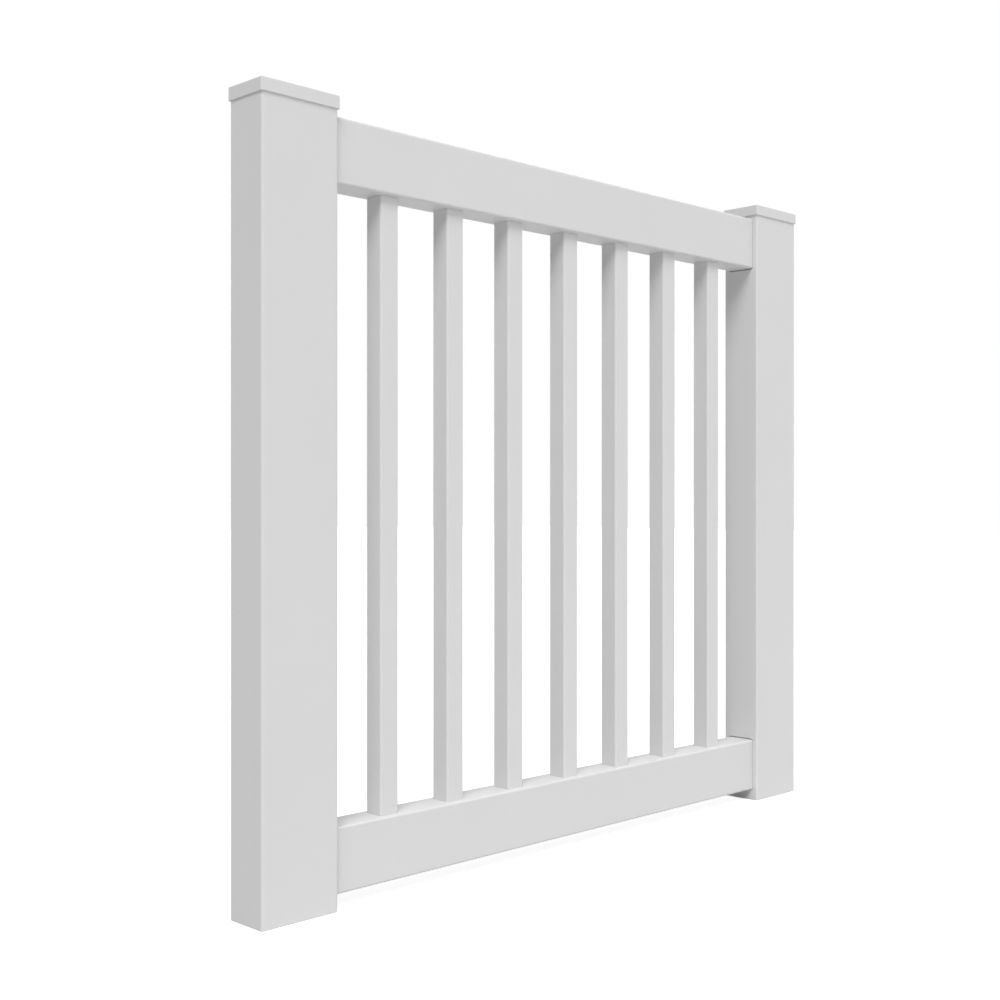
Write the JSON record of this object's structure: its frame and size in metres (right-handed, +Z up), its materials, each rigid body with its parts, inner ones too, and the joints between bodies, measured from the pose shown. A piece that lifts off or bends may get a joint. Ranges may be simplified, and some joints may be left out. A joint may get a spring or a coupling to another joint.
{
  "type": "vinyl railing gate",
  "caption": "White vinyl gate leaf for a railing: hollow uprights with flat caps, a top and a bottom rail let into them, and square balusters.",
  "frame": {"origin": "on the hinge upright's outer face, at its foot, half way through its depth", "axes": "+X along the leaf from the hinge side to the latch side, +Z up, the front looks to -Y"},
  "size_m": [1.1946, 0.0746, 1.0668],
  "materials": {
    "white_vinyl": "satin extruded PVC",
    "cap_vinyl": "satin moulded PVC"
  },
  "bodies": {
    "root": {"left_upright": "white_vinyl", "right_upright": "white_vinyl", "left_cap": "cap_vinyl", "right_cap": "cap_vinyl", "bottom_rail": "white_vinyl", "top_rail": "white_vinyl", "baluster_1": "white_vinyl", "baluster_2": "white_vinyl", "baluster_3": "white_vinyl", "baluster_4": "white_vinyl", "baluster_5": "white_vinyl", "baluster_6": "white_vinyl", "baluster_7": "white_vinyl"}
  },
  "joints": []
}
